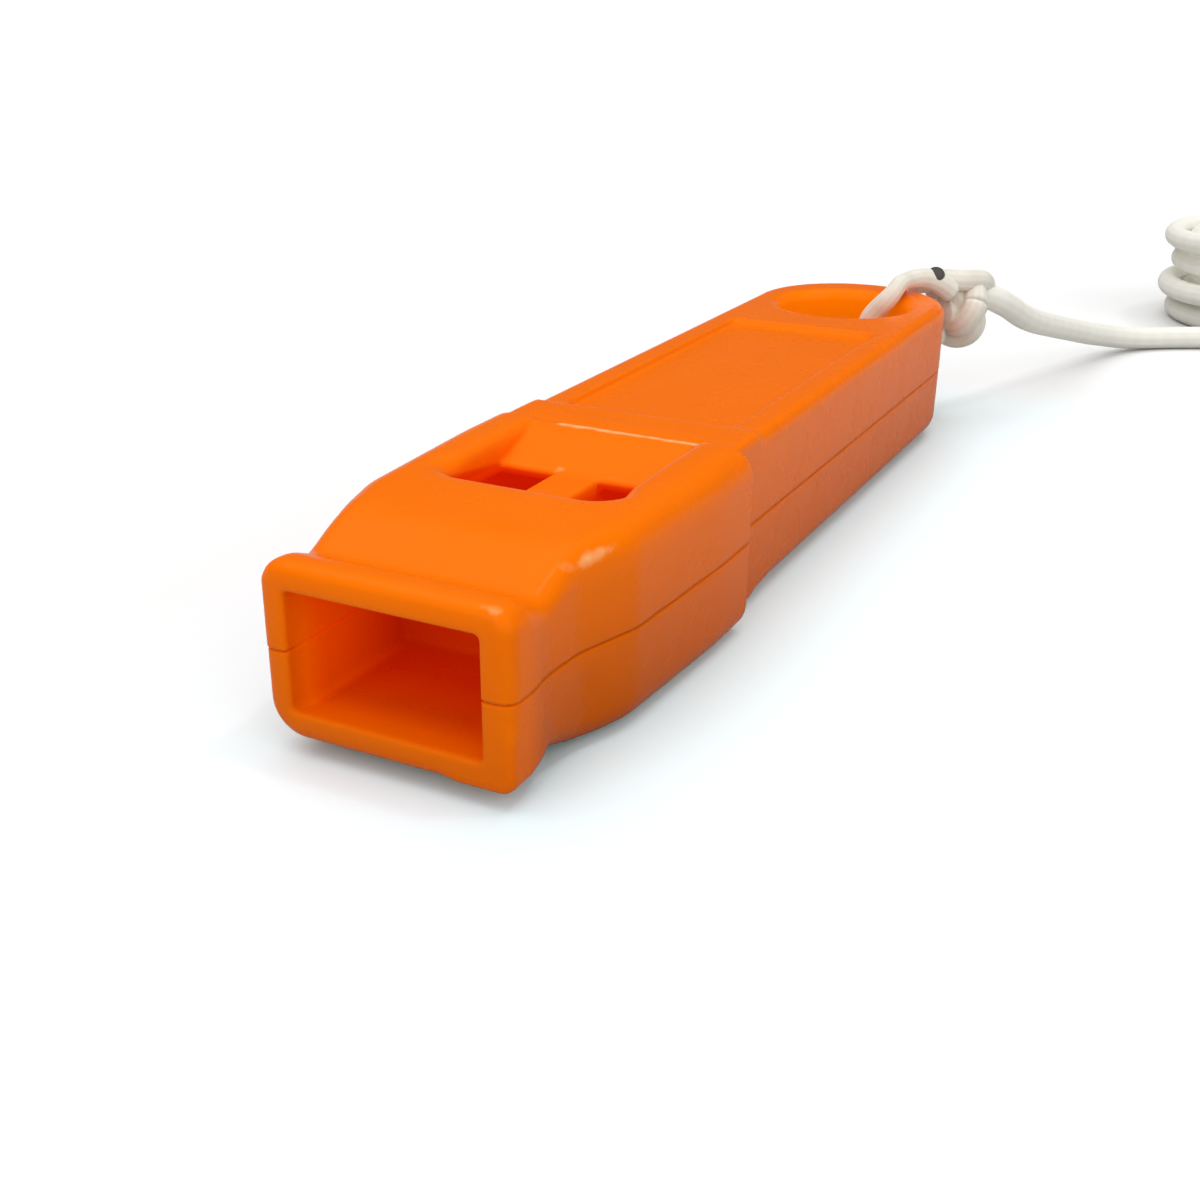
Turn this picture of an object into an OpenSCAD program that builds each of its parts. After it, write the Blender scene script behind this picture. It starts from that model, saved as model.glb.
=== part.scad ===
// Flat two-note whistle with a cord lanyard, in millimetres, +Z up.
// The whistle lies level on its front section. Y runs from the lip to the tail.

/* [Body] */
// Length from the lip to the tail
body_length = 76; // [66:1:90]
// Width of the front section at the step
front_width = 17.7; // [17:0.1:20]
// Height of the front section at the step
front_height = 11.4; // [11.2:0.1:13]
// Edge radius of the front section
front_radius = 1.8; // [1:0.1:2.4]
// Distance from the lip to the step
front_length = 24.7; // [23:0.1:28]
// Length of the level part before the step, which the whistle lies on
level_length = 4; // [2:0.1:6]
// Width of the rear section, also the diameter of the round tail
rear_width = 15.7; // [15:0.1:16.6]
// Height of the rear section
rear_height = 10.7; // [10:0.1:10.9]
// Edge radius of the rear section's top
rear_radius = 1; // [0.6:0.1:2]
// Edge radius of the rear section's underside
belly_radius = 1.6; // [0.8:0.1:2.4]
// Length of the collar behind the step
collar_length = 3.8; // [2:0.1:6]
// Height of the collar above the rear section, top and bottom
collar_rise = 0.16; // [0.1:0.02:0.24]

/* [Mouthpiece] */
// Width of the mouth opening
mouth_width = 11; // [9:0.1:11.4]
// Height of the mouth opening
mouth_height = 6.5; // [5:0.1:6.8]
// Depth of the mouth opening
mouth_depth = 10; // [8:0.1:11.5]
// Width of the lip
lip_width = 14.2; // [13.8:0.1:15]
// Height of the lip
lip_height = 9.7; // [9.2:0.1:10.4]
// Thickness of the lip along the whistle
lip_thickness = 2; // [1.4:0.1:2.6]
// Corner radius of the lip
lip_radius = 1.6; // [0.8:0.1:1.8]
// Rounding of the lip's front edge
lip_rounding = 0.6; // [0.2:0.1:0.7]
// Distance from the lip to the lowest line of the neck
neck_station = 3.1; // [2.8:0.1:4]
// Width of the neck
neck_width = 14.1; // [13.6:0.1:14.6]
// Height of the neck
neck_height = 8.6; // [8.2:0.1:9.1]
// Corner radius of the neck
neck_radius = 1.8; // [1:0.1:2.2]
// Distance from the lip to the crown of the mouthpiece
crown_station = 6.6; // [5:0.1:8]
// Width at the crown
crown_width = 14.3; // [14.2:0.1:15]
// Height at the crown
crown_height = 10.8; // [10:0.1:10.9]
// Distance from the lip to the shoulder
shoulder_station = 10.6; // [9:0.1:12.5]
// Width at the shoulder
shoulder_width = 16.7; // [16:0.1:16.9]
// Height at the shoulder
shoulder_height = 11; // [10.8:0.1:11.1]

/* [Windows and chambers] */
// Distance from the lip to the front edge of the windows
window_station = 13.9; // [13:0.1:15]
// Length of the windows along the whistle
window_length = 5.9; // [5:0.1:6.4]
// Width over both windows at the blade
window_span = 9.6; // [9:0.1:10.4]
// Width of the opening round the windows at the top of the step
opening_span = 12.4; // [11.6:0.1:12.8]
// Radius of the opening's front corners
opening_radius = 2; // [1:0.1:2.6]
// Radius of the windows' front corners
window_radius = 1; // [0.6:0.1:1.4]
// Width of the divider between the two voices
divider_width = 2.9; // [2:0.1:3.2]
// Thickness of the blade at its edge
blade_edge = 0.6; // [0.4:0.05:0.9]
// Height of the blade's top edge above the seam
blade_height = 4.15; // [3.8:0.05:4.6]
// Height of the two windways
windway_height = 1.3; // [1:0.05:1.5]
// Width over both chambers
chamber_span = 12.2; // [11:0.1:12.6]
// Height of the chambers
chamber_height = 7.1; // [6:0.1:7.2]
// Length of the left chamber, the lower note
left_chamber = 35; // [28:0.5:37]
// Length of the right chamber, the higher note
right_chamber = 29; // [24:0.5:34]

/* [Panel and lanyard hole] */
// Length of the bare panel sunk in the top
panel_length = 28; // [20:0.5:30]
// Width of the bare panel
panel_width = 11.4; // [8:0.1:12]
// Depth of the bare panel
panel_depth = 0.3; // [0.15:0.05:0.5]
// Distance from the collar to the panel
panel_gap = 0.6; // [0.2:0.1:2]
// Diameter of the lanyard hole
hole_d = 10.6; // [9:0.1:11]
// Rounding of the lanyard hole's rim, top and bottom
hole_edge = 0.5; // [0.2:0.1:0.8]
// Thickness of the rim behind the lanyard hole
rim_thickness = 3.7; // [3:0.1:4.4]

/* [Locating pins] */
// Diameter of the pins that register the two shells
pin_d = 1.4; // [1:0.1:1.6]
// Length of the pins above the seam
pin_length = 1.2; // [0.8:0.1:2]
// Clearance round a pin and over its end
pin_clearance = 0.1; // [0.05:0.05:0.15]

/* [Lanyard] */
// Diameter of the cord
cord_d = 2.2; // [2.1:0.02:2.3]
// Diameter of the cord where it is drawn tight round the rim
tight_d = 1.9; // [1.8:0.02:2]
// Length of the knot behind the tail
knot_length = 3.6; // [3.4:0.1:3.7]
// Diameter over the wraps of the knot
knot_d = 6.8; // [6.6:0.1:7]
// Number of wraps in the knot
knot_wraps = 2; // [2:1:2]
// Mean diameter of the stored coil
coil_d = 22; // [22:0.1:26]
// Layers in the coil
coil_layers = 4; // [2:2:4]
// Turns in each layer
layer_turns = 1.5; // [1.5:0.5:3]
// Distance between neighbouring turns and layers
coil_pitch = 2.68; // [2.65:0.01:2.9]
// Diameter of the stopper knot at the far end
end_knot_d = 4.6; // [4:0.1:5]
// Length of the stopper knot
end_knot_length = 5; // [4:0.1:6]

/* [Hidden] */
$fn = 64;

hull_sides = 32;
overrun = 1;
slice = 0.01;
orange = [1, 0.48, 0.02];
shade_orange = [0.93, 0.42, 0.05];
off_white = [0.86, 0.84, 0.78];
burnt = [0.2, 0.18, 0.16];

// Places that follow from the driving sizes
seam_height = front_height / 2;
tail_radius = rear_width / 2;
tail_station = body_length - tail_radius;
hole_station = body_length - rim_thickness - hole_d / 2;
crown_radius = (neck_radius + front_radius) / 2;
blade_station = window_station + window_length;
chamber_width = (chamber_span - divider_width) / 2;
window_width = (window_span - divider_width) / 2;
windway_floor = blade_height - blade_edge / 2 - windway_height;
panel_station = front_length + collar_length + panel_gap;
pin_places = [[0, (blade_station + window_station + right_chamber) / 2],
              [-chamber_span / 4, (window_station + left_chamber + hole_station - hole_d / 2) / 2],
              [chamber_span / 4, (window_station + left_chamber + hole_station - hole_d / 2) / 2]];

// The whistle is drawn from the lip and the seam, then set on the floor and centred
module placed() {
    translate([0, -body_length / 2, seam_height]) children();
}

// ---- Outer form ----

module rounded_plate(w, h, r) {
    square([w - 2 * r, h], center = true);
    square([w, h - 2 * r], center = true);
    for (x = [-1, 1], y = [-1, 1])
        translate([x * (w / 2 - r), y * (h / 2 - r)]) circle(r = r);
}

module bar(y, length, w, h, r) {
    translate([0, y + length, 0]) rotate([90, 0, 0])
        linear_extrude(height = length) rounded_plate(w, h, r);
}

module station(y, w, h, r) {
    bar(y, slice, w, h, r, $fn = hull_sides);
}

module lip_form() {
    hull() {
        station(0, lip_width - 2 * lip_rounding, lip_height - 2 * lip_rounding,
                lip_radius - lip_rounding / 2);
        station(lip_rounding, lip_width, lip_height, lip_radius);
        station(lip_thickness, lip_width, lip_height, lip_radius);
    }
    hull() {
        station(lip_thickness, lip_width, lip_height, lip_radius);
        station(neck_station, neck_width, neck_height, neck_radius);
    }
}

module mouthpiece_form() {
    hull() {
        station(neck_station, neck_width, neck_height, neck_radius);
        station(crown_station, crown_width, crown_height, crown_radius);
    }
    hull() {
        station(crown_station, crown_width, crown_height, crown_radius);
        station(shoulder_station, shoulder_width, shoulder_height, front_radius);
    }
    hull() {
        station(shoulder_station, shoulder_width, shoulder_height, front_radius);
        station(front_length - level_length, front_width, front_height, front_radius);
    }
    bar(front_length - level_length, level_length, front_width, front_height, front_radius);
}

module rear_form(r) {
    bar(front_length - overrun, tail_station - front_length + overrun,
        rear_width, rear_height, r);
    bar(front_length - overrun, collar_length + overrun,
        rear_width, rear_height + 2 * collar_rise, r);
    translate([0, tail_station, 0]) rotate_extrude()
        intersection() {
            rounded_plate(rear_width, rear_height, r);
            translate([0, -rear_height / 2]) square([tail_radius, rear_height]);
        }
}

module outer_form(rear_edge) {
    lip_form();
    mouthpiece_form();
    rear_form(rear_edge);
}

module half_space(side) {
    span = body_length + 2 * overrun;
    translate([-front_width, -overrun, side > 0 ? 0 : -front_height])
        cube([2 * front_width, span, front_height]);
}

// ---- Cuts ----

module mouth_cut() {
    translate([-mouth_width / 2, -overrun, -mouth_height / 2])
        cube([mouth_width, mouth_depth + overrun, mouth_height]);
}

module windway_cut() {
    for (x = [-1, 1])
        translate([x > 0 ? divider_width / 2 : -window_span / 2,
                   mouth_depth - overrun, windway_floor])
            cube([window_width, window_station - mouth_depth + 2 * overrun, windway_height]);
}

module chamber_cut(left, x) {
    translate([left ? -divider_width / 2 - chamber_width : divider_width / 2,
               window_station, -chamber_height / 2])
        cube([chamber_width, x, chamber_height]);
}

module chambers_cut() {
    chamber_cut(true, left_chamber);
    chamber_cut(false, right_chamber);
}

// The two windows, with round front corners, from the chambers up into the opening
module windows_cut() {
    for (x = [-1, 1])
        translate([x > 0 ? divider_width / 2 : -window_span / 2, window_station, 0])
            difference() {
                cube([window_width, window_length, front_height]);
                translate([x > 0 ? window_width : 0, 0, 0]) corner_fill(window_radius);
            }
}

// What a round corner leaves of a square one, on either side of its upright line
module corner_fill(r) {
    difference() {
        translate([-r, -r, -overrun]) cube([2 * r, 2 * r, front_height + 2 * overrun]);
        translate([-2 * r, r, -2 * overrun]) cube([4 * r, 2 * r, front_height + 4 * overrun]);
        for (x = [-1, 1]) translate([x * r, r, -2 * overrun])
            cylinder(r = r, h = front_height + 4 * overrun);
    }
}

// The opening in the top: level with the blade over the windows, then the ramp up to the step,
// between two leaning sides and behind round front corners
module opening_cut() {
    rise = front_height / 2 - blade_height;
    run = front_length - blade_station;
    top_share = 1.5;
    lean = (opening_span - window_span) / 2;
    intersection() {
        translate([-front_width / 2, 0, 0]) rotate([90, 0, 90])
            linear_extrude(height = front_width)
                polygon([[window_station, blade_height], [blade_station, blade_height],
                         [blade_station + run * top_share, blade_height + rise * top_share],
                         [window_station, blade_height + rise * top_share]]);
        translate([0, front_length + collar_length, 0]) rotate([90, 0, 0])
            linear_extrude(height = front_length)
                polygon([[-window_span / 2, blade_height], [window_span / 2, blade_height],
                         [window_span / 2 + lean * top_share, blade_height + rise * top_share],
                         [-window_span / 2 - lean * top_share, blade_height + rise * top_share]]);
        difference() {
            translate([-front_width / 2, 0, 0]) cube([front_width, body_length, front_height]);
            for (x = [-1, 1]) translate([x * opening_span / 2, window_station, 0])
                corner_fill(opening_radius);
        }
    }
}

module panel_cut() {
    translate([-panel_width / 2, panel_station, rear_height / 2 - panel_depth])
        cube([panel_width, panel_length, front_height]);
}

module hole_cut() {
    hole_flare = hole_d / 2 + hole_edge;
    translate([0, hole_station, 0]) {
        translate([0, 0, -front_height]) cylinder(d = hole_d, h = 2 * front_height);
        for (side = [0, 1]) mirror([0, 0, side]) rotate_extrude() difference() {
            translate([0, rear_height / 2 - hole_edge]) square([hole_flare, hole_edge + overrun]);
            translate([hole_flare, rear_height / 2 - hole_edge]) circle(r = hole_edge);
        }
    }
}

// The channel under the rim that lets the lanyard pass below without lifting the tail
module cord_channel_cut() {
    translate([loop_foot[0], loop_foot[1], -front_height]) rotate([0, 0, loop_turn])
        translate([0, -channel_width / 2, 0])
            cube([body_length, channel_width, front_height - seam_height + channel_roof]);
}

module pins(d, length) {
    for (p = pin_places) translate([p[0], p[1], 0]) cylinder(d = d, h = length);
}

// ---- Shells ----

module upper_shell() {
    color(orange) placed() difference() {
        intersection() {
            outer_form(rear_radius);
            half_space(1);
        }
        mouth_cut();
        windway_cut();
        chambers_cut();
        windows_cut();
        opening_cut();
        panel_cut();
        hole_cut();
        translate([0, 0, -overrun]) pins(pin_d + 2 * pin_clearance, pin_length + pin_clearance + overrun);
    }
}

module lower_shell() {
    color(shade_orange) placed() union() {
        difference() {
            intersection() {
                outer_form(belly_radius);
                half_space(-1);
            }
            mouth_cut();
            chambers_cut();
            hole_cut();
            cord_channel_cut();
        }
        translate([0, 0, -pin_length]) pins(pin_d, 2 * pin_length);
    }
}

// ---- Lanyard ----

cord_r = cord_d / 2;
cord_sides = 8;
coil_sides = 6;
rings_per_turn = 24;
cord_lift = 0.05;
cord_gap = 0.3;

// The loop lies in an upright plane that starts at its foot inside the hole
loop_turn = 56;
loop_foot_offset = [1.1, 3.5];
loop_foot = [loop_foot_offset[0], hole_station + loop_foot_offset[1]];
channel_width = tight_d + 2 * cord_gap;
channel_roof = cord_lift + tight_d + cord_gap;
knot_start = 8;
knot_rise = 8.9;

// Route of the loop from the knot over the rim, down the hole and back below the rim:
// distance along the plane, distance to its right, height over the floor
loop_route = [[8, 1, 10.9], [7.3, 0.9, 11.4], [6.5, 0.6, 11.9], [5.5, 0.4, 12.15], [4.4, 0.3, 12.2],
              [3.3, 0.6, 12.15], [2.3, 1.1, 12.15], [1.5, 1.5, 11.85], [1, 1.6, 11.4],
              [0.5, 1.3, 10.7], [0.2, 0.7, 9.9], [0, 0.2, 9], [0, 0, 7.8], [0, 0, 6.4],
              [0, 0, 5], [0.1, 0, 3.4], [0.5, 0, 2.1], [1.4, 0, 1.3],
              [2.8, 0, 1.1], [4.3, 0, 1.1], [5.5, 0, 1.2], [6.4, 0, 1.9], [6.8, 0, 3.1],
              [6.8, 0, 4.4], [6.8, 0, 5.5], [7.1, 0, 6.4], [7.5, 0, 6.9], [8, 0, 7]];
// Route of the burnt end, in the same three distances
tip_route = [[8, -1, 10.7], [7.5, -1.1, 10.8], [7, -1.3, 11.3], [6.7, -1.5, 11.8]];
// Route of the free cord: it leaves the knot, then runs in part coordinates to the coil
cord_exit = [11.6, 0.3, 10];
cord_route = [[8.7, 42.7, 10], [9.5, 43.9, 9.4], [10.1, 45.7, 8.6], [10.7, 48, 7.5],
              [11.4, 51.5, 6.3], [12.3, 56, 5.1], [13.3, 60.2, 4], [14.4, 64, 3],
              [15.3, 67, 2.3], [16.5, 69.6, 1.7], [18, 71.9, 1.3], [20, 73.8, 1.15],
              [22.4, 75.3, 1.15], [25.2, 76.8, 1.15], [28.2, 78.3, 1.15], [31.1, 79.75, 1.15],
              [34, 81.2, 1.15]];

function unit(v) = v / norm(v);
function mix(a, b, t) = a + (b - a) * t;

// A smooth curve through the route's points
function spline_point(p, i, t) =
    let (a = p[max(i - 1, 0)], b = p[i], c = p[i + 1], d = p[min(i + 2, len(p) - 1)])
    (2 * b + (c - a) * t + (2 * a - 5 * b + 4 * c - d) * t * t
     + (3 * b - a - 3 * c + d) * t * t * t) / 2;
function smooth(p, steps) =
    concat([for (i = [0 : len(p) - 2], k = [0 : steps - 1]) spline_point(p, i, k / steps)],
           [p[len(p) - 1]]);

function tangent(p, i) = unit(p[min(i + 1, len(p) - 1)] - p[max(i - 1, 0)]);
function ring(centre, along, up, radius, sides, phase) =
    let (a = unit(cross(along, up)), b = cross(a, along))
    [for (k = [0 : sides - 1])
        let (angle = 360 * (k + phase) / sides)
        centre + radius * (cos(angle) * a + sin(angle) * b)];

// One closed tube swept along the points, with the first and last ring square to given ways
module tube(p, radius, sides, up, first, last, phase = 0.5) {
    n = len(p);
    points = [for (i = [0 : n - 1])
        each ring(p[i], i == 0 ? first : i == n - 1 ? last : tangent(p, i), up, radius, sides, phase)];
    walls = [for (i = [0 : n - 2], k = [0 : sides - 1])
        let (a = i * sides + k, b = i * sides + (k + 1) % sides)
        each [[a, b, a + sides], [b, b + sides, a + sides]]];
    start_cap = [for (k = [1 : sides - 2]) [0, k + 1, k]];
    end_cap = [for (k = [1 : sides - 2]) let (e = (n - 1) * sides) [e, e + k, e + k + 1]];
    polyhedron(points = points, faces = concat(walls, start_cap, end_cap), convexity = 10);
}

// From the loop's three distances to part coordinates
loop_along = [cos(loop_turn), sin(loop_turn), 0];
loop_right = [sin(loop_turn), -cos(loop_turn), 0];
loop_origin = [loop_foot[0], loop_foot[1] - body_length / 2, 0];
function from_loop(q) = loop_origin + q[0] * loop_along + q[1] * loop_right + [0, 0, q[2]];

module lanyard_loop() {
    path = smooth([for (q = loop_route) from_loop(q)], 2);
    color(off_white) tube(path, tight_d / 2, cord_sides, loop_right, -loop_along, loop_along);
}

module lanyard_tip() {
    path = smooth([for (q = tip_route) from_loop(q)], 2);
    color(burnt) tube(path, tight_d / 2, cord_sides, loop_right, -loop_along,
                      tangent(path, len(path) - 1));
}

// A barrel knot: a core inside its wraps
module knot_form(length, d, wraps) {
    wrap_pitch = (length - cord_d) / (wraps - 1);
    core_share = 0.9;
    cylinder(d = d * core_share, h = length);
    for (i = [0 : wraps - 1]) translate([0, 0, cord_r + i * wrap_pitch])
        rotate_extrude() translate([d / 2 - cord_r, 0]) circle(r = cord_r);
}

module lanyard_knot() {
    color(off_white) translate(from_loop([knot_start, 0, knot_rise]))
        rotate([0, 90, loop_turn]) knot_form(knot_length, knot_d, knot_wraps);
}

module lanyard_cord() {
    path = concat([from_loop(cord_exit)], cord_route);
    color(off_white) tube(path, cord_r, cord_sides, [0, 0, 1], loop_along, coil_way);
}

// The coil spirals in and out, one layer on the next, and climbs where it reverses
coil_way = unit(cord_route[len(cord_route) - 1] - cord_route[len(cord_route) - 2]);
coil_side = [-coil_way[1], coil_way[0], 0];
coil_start = cord_route[len(cord_route) - 1] + cord_d * coil_way;
coil_out = coil_d / 2 + coil_pitch * layer_turns / 2;
coil_centre = coil_start + coil_out * coil_side;
coil_turns = coil_layers * layer_turns;
coil_end_turns = 0.25;
coil_phase = atan2(coil_way[1], coil_way[0]) - 90;
climb_turns = 0.5;
end_climb = coil_pitch + end_knot_d / 2 - cord_r;

function climb(t) = let (s = min(max(t / climb_turns + 0.5, 0), 1)) (1 - cos(180 * s)) / 2;
function coil_radius(t) =
    let (phase = t % (2 * layer_turns))
    coil_out - coil_pitch * (phase < layer_turns ? phase : 2 * layer_turns - phase);
function coil_height(t) =
    coil_pitch * sum([for (k = [1 : coil_layers - 1]) climb(t - k * layer_turns)])
    + end_climb * climb(t - coil_turns);
function sum(v, i = 0) = i < len(v) ? v[i] + sum(v, i + 1) : 0;
function coil_point(t) =
    let (angle = coil_phase + 360 * t, r = coil_radius(t))
    coil_centre + [r * cos(angle), r * sin(angle), coil_height(t)];

coil_steps = (coil_turns + coil_end_turns) * rings_per_turn;
coil_curve = [for (i = [0 : coil_steps]) coil_point(i / rings_per_turn)];
coil_last = tangent(coil_curve, len(coil_curve) - 1);
coil_exit = unit([coil_last[0], coil_last[1], 0]);
coil_end = coil_curve[len(coil_curve) - 1] + cord_d * coil_exit;
coil_path = concat([cord_route[len(cord_route) - 1]], coil_curve, [coil_end]);

coil_gap = min([for (i = [0 : len(coil_curve) - 1 - rings_per_turn / 2])
    min([for (k = [i + rings_per_turn / 2 : len(coil_curve) - 1])
        norm(coil_curve[i] - coil_curve[k])])]) - cord_d;
echo(least_gap_of_coil = coil_gap);

module lanyard_coil() {
    color(off_white) tube(coil_path, cord_r, coil_sides, [0, 0, 1], coil_way, coil_exit);
}

module lanyard_end_knot() {
    color(off_white) translate(coil_end)
        rotate([0, 90, atan2(coil_exit[1], coil_exit[0])])
            knot_form(end_knot_length, end_knot_d, 2);
}

upper_shell();
lower_shell();
lanyard_loop();
lanyard_knot();
lanyard_tip();
lanyard_cord();
lanyard_coil();
lanyard_end_knot();
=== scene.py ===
# %% [markdown]
# # A two-note whistle and its cord
#
# This lesson dresses a small moulded whistle. The hard sizes were settled in the CAD model, which
# arrives as named meshes in metres. Here each of them gets the surface that the eye expects: two
# glossy half shells with soft moulded edges, and a pale braided cord with its knots.

import math

import bpy
import numpy as np
from mathutils import Matrix, Vector


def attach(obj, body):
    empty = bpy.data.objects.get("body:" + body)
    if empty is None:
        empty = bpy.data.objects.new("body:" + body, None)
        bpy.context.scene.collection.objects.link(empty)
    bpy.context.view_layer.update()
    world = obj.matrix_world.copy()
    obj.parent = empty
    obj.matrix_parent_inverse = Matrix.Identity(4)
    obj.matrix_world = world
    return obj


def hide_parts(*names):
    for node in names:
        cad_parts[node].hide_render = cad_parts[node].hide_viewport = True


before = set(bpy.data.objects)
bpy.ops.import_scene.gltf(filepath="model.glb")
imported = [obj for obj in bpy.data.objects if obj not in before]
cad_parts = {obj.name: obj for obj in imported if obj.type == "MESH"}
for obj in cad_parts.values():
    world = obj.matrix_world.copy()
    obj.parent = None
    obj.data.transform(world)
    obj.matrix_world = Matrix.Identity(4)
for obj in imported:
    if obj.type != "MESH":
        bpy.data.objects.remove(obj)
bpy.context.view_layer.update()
MM = 0.001
print("nodes:", sorted(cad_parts))


# %% [markdown]
# ## The camera
#
# The photograph was taken close up, a little above the whistle and to the right of its lip. A camera
# is only a place, three directions and a lens, so these are written down as a matrix. The numbers
# came from fitting the whistle's outline, so the render and the photograph can be laid over each other.

# %% Camera
LENS_MM, SENSOR_MM = 44.36, 36.0
AZIMUTH, ELEVATION, ROLL = (math.radians(a) for a in (27.06, 23.213, 0.345))
CAMERA_MM = (37.784, -89.125, 36.602)
NEAR, FAR = 0.005, 20.0

level = math.cos(ELEVATION)
forward = Vector((-math.sin(AZIMUTH) * level, math.cos(AZIMUTH) * level, -math.sin(ELEVATION)))
right = Vector((math.cos(AZIMUTH), math.sin(AZIMUTH), 0.0))
up = right.cross(forward)
right, up = right * math.cos(ROLL) + up * math.sin(ROLL), up * math.cos(ROLL) - right * math.sin(ROLL)
turned = Matrix((right, up, -forward)).transposed().to_4x4()
lens = bpy.data.cameras.new("camera")
lens.lens, lens.sensor_width = LENS_MM, SENSOR_MM
lens.clip_start, lens.clip_end = NEAR, FAR
camera = bpy.data.objects.new("camera", lens)
camera.matrix_world = Matrix.Translation(Vector(CAMERA_MM) * MM) @ turned
bpy.context.scene.collection.objects.link(camera)
bpy.context.scene.camera = camera
print("camera at", [round(c, 4) for c in camera.location])


# %% [markdown]
# ## A surface from a grid
#
# Every new piece below ends as an array of points and an array of faces. Blender takes both in one
# call. A tube, a ring or a shell is then only arithmetic: no vertex is placed by hand, and a change
# of one number redraws the whole piece.

# %% Mesh helpers
def make_piece(name, points, faces, uv=None):
    """Turns an array of points in metres and lists of corner numbers into one smooth object. The
    UV, one pair for each corner of each face, is kept under the name "lay"."""
    mesh = bpy.data.meshes.new(name)
    mesh.from_pydata(points.tolist(), [], faces)
    mesh.polygons.foreach_set("use_smooth", np.ones(len(mesh.polygons), bool))
    if uv is not None:
        mesh.uv_layers.new(name="lay").data.foreach_set("uv", uv.astype(np.float32).ravel())
    mesh.validate()
    piece = bpy.data.objects.new(name, mesh)
    bpy.context.scene.collection.objects.link(piece)
    print(f"{name}: {len(mesh.vertices)} points, {len(mesh.polygons)} faces")
    return piece


def rise(v, start, width):
    """0 up to the start, then evenly up to 1 over the width: (v - start) / width, held between 0
    and 1. A negative width makes it rise the other way."""
    return np.clip((v - start) / width, 0, 1)


def bell(v, middle, spread):
    """1 in the middle, falling off smoothly on both sides: exp(-((v - middle) / spread)^2)."""
    return np.exp(-((v - middle) / spread) ** 2)


# %% Paths
STRETCH_POINTS = 24


def distance_along(path):
    """How far each point of a path lies from its start: the sum of the steps so far."""
    return np.concatenate([[0], np.cumsum(np.linalg.norm(np.diff(path, axis=0), axis=1))])


def run_length(path):
    """The length of a path is the distance of its last point."""
    return float(distance_along(path)[-1])


def smooth_path(points, step):
    """A Catmull-Rom curve through the points, sampled about every step: each stretch is
    p(t) = (2b + (c - a)t + (2a - 5b + 4c - d)t^2 + (3b - a - 3c + d)t^3) / 2."""
    p = np.asarray(points, float)
    a, b, c, d = (p[np.clip(np.arange(len(p) - 1) + k, 0, len(p) - 1)] for k in (-1, 0, 1, 2))
    t = np.linspace(0, 1, STRETCH_POINTS, endpoint=False)[None, :, None]
    a, b, c, d = (q[:, None, :] for q in (a, b, c, d))
    fine = (2 * b + (c - a) * t + (2 * a - 5 * b + 4 * c - d) * t**2 + (3 * b - a - 3 * c + d) * t**3) / 2
    fine = np.vstack([fine.reshape(-1, 3), p[-1:]])
    way = distance_along(fine)
    even = np.linspace(0, way[-1], max(int(round(way[-1] / step)), 2) + 1)
    return np.stack([np.interp(even, way, fine[:, k]) for k in range(3)], axis=1)


def carried_frames(path):
    """Two directions square to the path at each point, carried along it without twisting: the
    first is what is left of the previous one once its share along the tangent is taken away."""
    along = np.gradient(path, axis=0)
    along /= np.linalg.norm(along, axis=1)[:, None]
    side = np.zeros_like(path)
    start = np.cross(along[0], (0.0, 0.0, 1.0) if abs(along[0][2]) < 0.9 else (1.0, 0.0, 0.0))
    side[0] = start / np.linalg.norm(start)
    for i in range(1, len(path)):
        s = side[i - 1] - along[i] * (side[i - 1] @ along[i])
        side[i] = s / np.linalg.norm(s)
    return side, np.cross(along, side)


# %% Tubes
def tube(path, radius, sides):
    """A ring of points round each point of the path, at path + radius (cos u side + sin u lift),
    with a fan of triangles at both ends. Returns the points, the quads and the fans, and the UV of
    each as (share of a turn, metres along)."""
    radius = np.broadcast_to(radius, len(path))
    side, lift = carried_frames(path)
    u = np.arange(sides) * 2 * np.pi / sides
    spokes = np.cos(u)[None, :, None] * side[:, None] + np.sin(u)[None, :, None] * lift[:, None]
    rings = path[:, None] + radius[:, None, None] * spokes
    points = np.vstack([rings.reshape(-1, 3), path[:1], path[-1:]])
    n = len(path)
    i, k = np.meshgrid(np.arange(n - 1), np.arange(sides), indexing="ij")
    a, b = (i * sides + k).ravel(), (i * sides + (k + 1) % sides).ravel()
    quads = np.stack([a, b, b + sides, a + sides], axis=1)
    way = distance_along(path)
    turn, metres, next_metres = (k / sides).ravel(), way[i.ravel()], way[i.ravel() + 1]
    next_turn = turn + 1 / sides
    corners = ((turn, metres), (next_turn, metres), (next_turn, next_metres), (turn, next_metres))
    quad_uv = np.stack([np.stack(corner, axis=1) for corner in corners], axis=1)
    k = np.arange(sides)
    last_ring = (n - 1) * sides
    start = np.stack([np.full(sides, n * sides), (k + 1) % sides, k], axis=1)
    end = np.stack([np.full(sides, n * sides + 1), last_ring + k, last_ring + (k + 1) % sides], axis=1)
    fan_uv = np.zeros((2 * sides, 3, 2))
    fan_uv[:, :, 1] = np.repeat([0, way[-1]], sides)[:, None]
    return points, (quads, np.vstack([start, end])), (quad_uv, fan_uv)


def tube_piece(name, tubes):
    """Joins tubes into one piece: a tube's corner numbers start where the last one's points end."""
    points, faces, uv, base = [], [], [], 0
    for place, corner_sets, uv_sets in tubes:
        points.append(place)
        for corners, layer in zip(corner_sets, uv_sets):
            faces += (corners + base).tolist()
            uv.append(layer.reshape(-1, 2))
        base += len(place)
    return make_piece(name, np.vstack(points), faces, np.vstack(uv))


# %% [markdown]
# ## The cord
#
# The cord is one length of limp braid. It goes down through the tail hole, back under the rim, and
# is tied behind the tail. From the knot it droops to the table and runs off to the right, into a
# small coil. A cord is a path and a radius, so its route is the same list of points as in the CAD
# model, turned into metres. It is made first, because its length and its room on the table are facts.

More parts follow.
